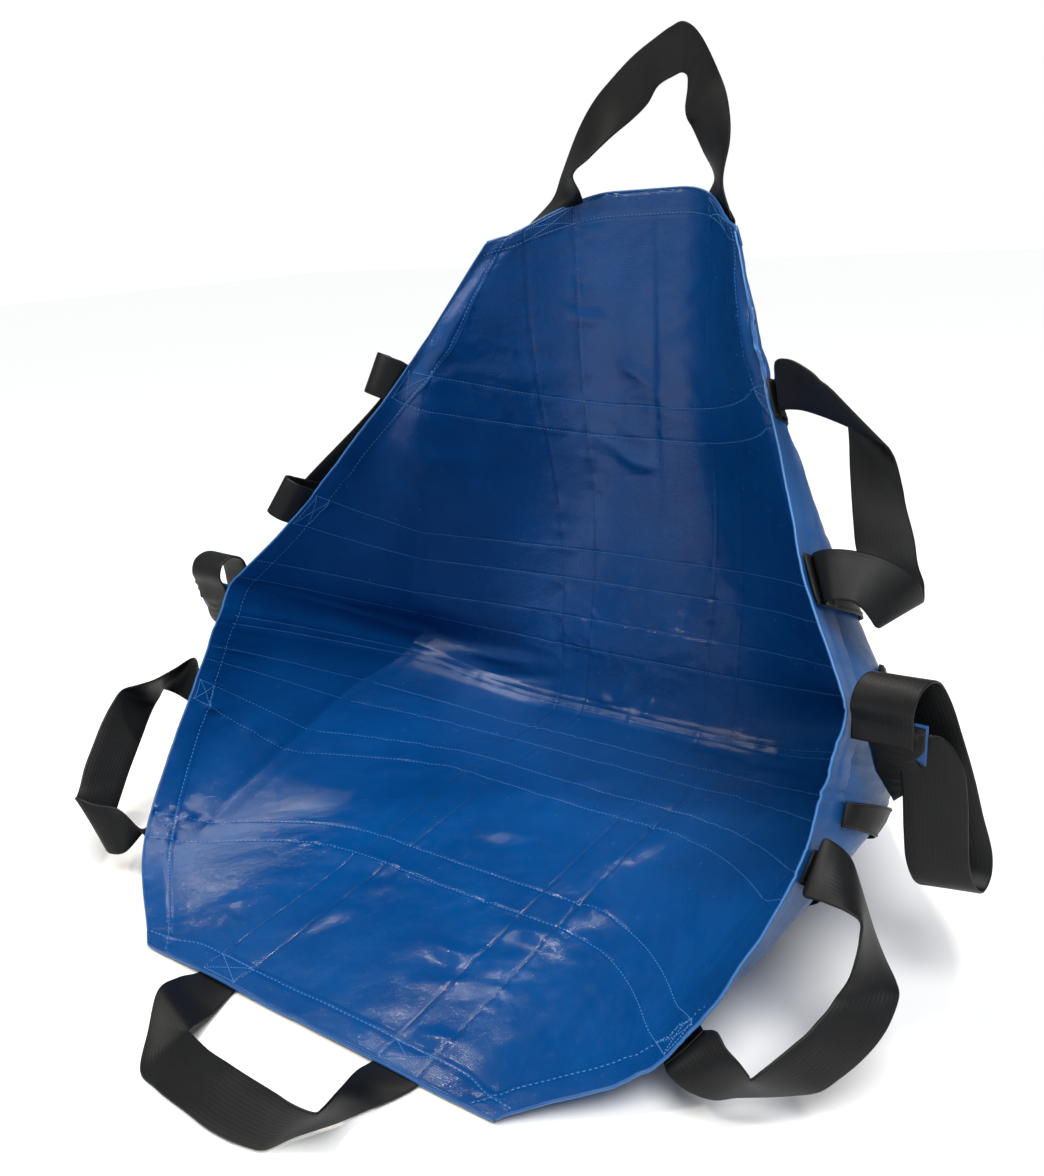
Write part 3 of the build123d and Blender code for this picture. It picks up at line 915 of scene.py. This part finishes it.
for side, name in ((-1, "left"), (1, "right")):
    fin = tuck_layer(f"tuck_{name}", side, -1.2, 1.2, 0.0, OUTSIDE_PAINTED_SHEEN, 0.0)
    fixed(fin, "seat", "coated_sheet", f"hip_tuck_front_{name}", f"hip_tuck_rear_{name}")
    fore = tuck_layer(f"tuck_webbing_front_{name}", side, 1.4, 2.9, 2.0, BLACK, 1.6)
    fixed(fore, "seat", "strap_webbing", f"hip_strap_front_{name}")
    rear = tuck_layer(f"tuck_webbing_rear_{name}", side, -2.9, -1.4, 2.0, BLACK, -0.8)
    fixed(rear, "seat", "strap_webbing", f"hip_strap_rear_{name}")

# --- the eight handles ----------------------------------------------------------------
# The rest shape of each handle: points on its two edges, in mm, from root to root.
SEWN = {"seat": 7.6, "back": 5.8}   # depth of a side handle's sewn ends
FRONT_LOOP = [
    (-128, -421, 2.6, -80, -421, 2.6), (-123, -446, 17, -72, -452, 5), (-105, -479, 33, -61, -482, 17),
    (-89, -503, 19, -57, -486, 19), (-77, -523, 3, -52, -488, 22), (-49, -530, 3, -22, -496, 27),
    (-11, -533, 3, 10, -502, 34), (22, -535, 3, 42, -509, 43), (57, -531, 3, 74, -512, 46),
    (69, -526, 3, 92, -513, 46), (79, -507, 3, 108, -509, 43), (97, -482, 3, 111, -503, 43),
    (105, -469, 3, 104, -481, 36), (121, -441, 3, 87, -446, 17), (128, -421, 2.6, 80, -421, 2.6),
]
TOP_LOOP = [
    (-111, 211, 646, -66, 195, 650), (-106, 223, 670, -71, 189, 667), (-80, 220, 715, -53, 196, 684),
    (-54, 213, 743, -29, 203, 703), (-27, 206, 762, -6, 210, 719), (1, 202, 780, 12, 212, 733),
    (30, 197, 793, 25, 212, 749), (50, 192, 800, 46, 204, 755), (66, 186, 802, 58, 201, 757),
    (74, 188, 798, 62, 203, 754), (81, 196, 788, 63, 202, 744), (95, 206, 756, 61, 200, 724),
    (105, 204, 734, 61, 204, 714), (111, 200, 709, 64, 212, 704), (113, 194, 687, 72, 220, 682),
    (109, 186, 648, 83, 226, 656),
]
UPPER_RIGHT = [
    (234, 19, 495, 235, 29, 448), (253, 2, 498, 252, 18, 452), (275, -14, 492, 271, 8, 452),
    (286, -17, 484, 310, -8, 444), (294, -17, 478, 343, -13, 430), (297, -12, 470, 346, -8, 424),
    (301, -6, 459, 349, -2, 413), (306, -3, 445, 354, -1, 396), (312, -10, 407, 359, -5, 380),
    (321, -24, 367, 370, -15, 355), (327, -32, 346, 376, -23, 337), (341, -46, 322, 382, -24, 322),
    (353, -64, 306, 383, -24, 314), (361, -76, 297, 384, -27, 307), (360, -80, 298, 384, -32, 311),
    (355, -81, 305, 380, -38, 328), (348, -83, 314, 356, -46, 345), (339, -85, 319, 331, -51, 351),
    (324, -84, 317, 310, -55, 351),
]
LOWER_RIGHT = [
    (363, -197, 168, 360, -232, 136), (373, -193, 162, 371, -234, 138), (381, -189, 151, 382, -236, 139),
    (387, -190, 137, 394, -238, 139), (394, -194, 121, 404, -239, 135), (404, -202, 104, 406, -245, 126),
    (417, -217, 94, 407, -258, 116), (429, -229, 86, 405, -267, 104), (435, -242, 84, 399, -274, 92),
    (433, -257, 70, 396, -283, 86), (428, -267, 59, 392, -291, 81), (420, -278, 48, 388, -300, 76),
    (409, -290, 37, 382, -310, 71), (399, -301, 30, 375, -323, 66), (385, -308, 26, 369, -334, 62),
    (368, -316, 23, 365, -344, 61), (347, -327, 21, 363, -344, 63), (335, -338, 22, 355, -340, 66),
    (317, -346, 28, 341, -331, 66), (303, -346, 35, 329, -319, 65),
]
LOWER_LEFT = [
    (-378, -185, 172, -393, -207, 132), (-382, -210, 167, -414, -206, 133),
    (-390, -233, 161, -417, -207, 131), (-406, -245, 156, -419, -211, 124),
    (-426, -253, 149, -421, -219, 115), (-426, -267, 140, -412, -235, 108),
    (-418, -290, 126, -400, -255, 98), (-406, -312, 113, -389, -275, 87), (-394, -334, 99, -379, -293, 77),
    (-383, -351, 85, -370, -309, 67), (-374, -362, 82, -357, -334, 48), (-371, -364, 84, -339, -358, 30),
    (-368, -364, 85, -334, -363, 31), (-349, -357, 79, -324, -365, 31), (-327, -347, 75, -311, -358, 33),
]
CURL = [                # past the rim and outwards: a leg that turns back over itself
    (2, 5), (10, 5), (19, 7), (26, 14), (27, 22), (20, 28), (10, 30),
]


def make_handle(name, keys, reach=None):
    """A handle whose sewn ends lie on the sheet, its placement baked into its points; reach is not used."""
    band = webbing(f"{name}_webbing", keys, BLACK)
    if reach is None:   # from the roots towards the middle of the loop
        points = np.array(keys, float).reshape(len(keys), 2, 3).mean(axis=1)
        roots = (points[1] + points[-2]) / 2
        way = points[len(keys) // 3: -(len(keys) // 3)].mean(axis=0) - roots
        way /= np.linalg.norm(way)
        reach = (roots + way * 2, roots + way * 32)
    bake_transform(band)
    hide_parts(name)


def end_keys(edge, inward, x_out, x_in, depth):
    """Edge points of a sewn end under the front or top edge, from inside outwards."""
    rows = []
    for d in (25, 8):
        ends = [plain(x, edge + inward * d, depth).reshape(3) / MM for x in (x_out, x_in)]
        rows.append([*ends[0], *ends[1]])
    return rows


def side_handle(side, body, keys):
    """Keys of a side handle with both its sewn ends."""
    legs = [sewn_end(side, v, turn, SEWN[body]) for v, turn in zip(ROOTS[body], (1, -1))]
    return legs[0] + keys + legs[1][::-1]


make_handle("front_handle", (
    end_keys(FRONT, 1, -128, -80, 3.8) + FRONT_LOOP + end_keys(FRONT, 1, 128, 80, 3.8)[::-1]
))
make_handle("top_handle", (
    end_keys(TOP, -1, -122, -74, 5.8) + TOP_LOOP + end_keys(TOP, -1, 122, 74, 5.8)[::-1]
))
make_handle("lower_side_handle_right", side_handle(1, "seat", LOWER_RIGHT))
make_handle("lower_side_handle_left", side_handle(-1, "seat", LOWER_LEFT))
make_handle("upper_side_handle_right", side_handle(1, "back", UPPER_RIGHT))

# this one is turned back behind the side wall, folded flat at both ends
legs = []
for place, turn in zip(ROOTS["back"], (1, -1)):
    edge, along, past, out = rim_frame(-1, place)
    p, q, r, s = (
        edge + along * a * turn + past * b + out * c
        for a, b, c in ((12, 3, 30), (-34, -44, 30), (-6, 0, 33), (-48, -42, 33))
    )
    leg = sewn_end(-1, place, turn, SEWN["back"]) + beside_rim(-1, place, turn, CURL)
    legs.append(leg + [[*p, *q], [*r, *s]])
edge, _, _, out = rim_frame(-1, sum(ROOTS["back"]) / 2)
reach = (edge + out * 9, edge + out * 27)
make_handle("upper_side_handle_left", legs[0] + legs[1][::-1], reach)

HANG = [  # y, z, drift sideways and skew in degrees, from the front of the tuck over and back
    (-138, 226, 0, 0), (-139, 244, 0, 0), (-144, 258, 0, 0), (-138, 272, 2, 0), (-123, 277, 6, 2),
    (-108, 271, 10, 4), (-102, 255, 17, 5), (-101, 227, 27, 7), (-94, 186, 38, 14), (-87, 153, 45, 17),
    (-82, 112, 55, 16), (-87, 97, 56, 13), (-99, 90, 54, 14), (-113, 100, 50, 12), (-120, 120, 45, 12),
    (-123, 150, 42, 14), (-124, 185, 39, 11), (-125, 215, 33, 6), (-128, 236, 17, 3), (-131, 232, 3, 0),
]
for side, name, drifting in ((-1, "left", -0.1), (1, "right", 1.0)):
    keys = []
    for y, z, drift, skew in HANG:
        across = np.array([math.cos(math.radians(skew)), math.sin(math.radians(skew)), 0]) * STRAP / 2
        centre = np.array([385 + drift * drifting, y, z])
        keys.append([*((centre - across) * (side, 1, 1)), *((centre + across) * (side, 1, 1))])
    handle = f"hip_handle_{name}"
    fixed(webbing(f"{handle}_webbing", keys, BLACK), handle, "handle_webbing", handle)

# the sheet's flat size, measured on its smooth shape
x, v = sheet_grid()
flat_width = float(cloth_uv(x, v)[:, 0].max() * 2)
points = smooth((x, v)) * MM

# --- floor, light and camera ----------------------------------------------------------
floor_mesh = bpy.data.meshes.new("floor")
floor_mesh.from_pydata([(-12, -12, 0), (12, -12, 0), (12, 12, 0), (-12, 12, 0)], [], [(0, 1, 2, 3)])
floor = bpy.data.objects.new("floor", floor_mesh)
bpy.context.scene.collection.objects.link(floor)
floor_material, _, floor_shader = new_material("floor")
floor_shader.inputs["Base Color"].default_value = (0.93, 0.93, 0.93, 1)
floor_shader.inputs["Roughness"].default_value = 0.7
floor_mesh.materials.append(floor_material)

world = bpy.data.worlds.new("studio")
bpy.context.scene.world = world
world.use_nodes = True
sky = world.node_tree
dim = sky.nodes["Background"]
dim.inputs["Color"].default_value = (0.95, 0.98, 1, 1)
dim.inputs["Strength"].default_value = 0.24
backdrop = node(sky, "ShaderNodeBackground", {"Color": (1, 1, 1, 1), "Strength": 1.0})
seen = node(sky, "ShaderNodeLightPath").outputs["Is Camera Ray"]
both = node(sky, "ShaderNodeMixShader", {"Fac": seen})
sky.links.new(dim.outputs[0], both.inputs[1])
sky.links.new(backdrop.outputs[0], both.inputs[2])
sky.links.new(both.outputs[0], sky.nodes["World Output"].inputs["Surface"])


def aimed(name, kind, place, target, power, **settings):
    """A lamp at a place, turned to a target."""
    lamp = bpy.data.lights.new(name, kind)
    lamp.energy = power
    for key, value in settings.items():
        setattr(lamp, key, value)
    obj = bpy.data.objects.new(name, lamp)
    bpy.context.scene.collection.objects.link(obj)
    obj.location = place
    obj.rotation_mode = "QUATERNION"
    obj.rotation_quaternion = (Vector(place) - Vector(target)).to_track_quat("Z", "Y")


WARM = (1.0, 0.93, 0.80)
aimed("overhead", "SUN", (0.55, -0.5, 1.7), (0, 0, 0), 3.1, angle=math.radians(40))
aimed("behind", "AREA", (-0.3, 0.6, 1.9), (0, 0, 0.1), 17, size=0.15, color=WARM)
aimed("front", "AREA", (-0.7, -1.1, 1.5), (0, 0.2, 0.4), 10, size=0.15, color=WARM)

CAMERA_PLACE = (0.5759, -0.8836, 0.6256)
AZIMUTH, ELEVATION, ROLL = (math.radians(a) for a in (34.95, 19.38, -3.52))
back = Vector((
    math.sin(AZIMUTH) * math.cos(ELEVATION), -math.cos(AZIMUTH) * math.cos(ELEVATION), math.sin(ELEVATION),
))
right = Vector((0, 0, 1)).cross(back).normalized()
up = back.cross(right)
turned_right = right * math.cos(ROLL) + up * math.sin(ROLL)
turned_up = up * math.cos(ROLL) - right * math.sin(ROLL)
lens = bpy.data.cameras.new("camera")
lens.sensor_width = 36
lens.lens = 32.081633
camera = bpy.data.objects.new("camera", lens)
bpy.context.scene.collection.objects.link(camera)
facing = Matrix((turned_right, turned_up, back)).transposed().to_4x4()
camera.matrix_world = Matrix.Translation(CAMERA_PLACE) @ facing
bpy.context.scene.camera = camera
bpy.context.scene.view_settings.view_transform = "Standard"
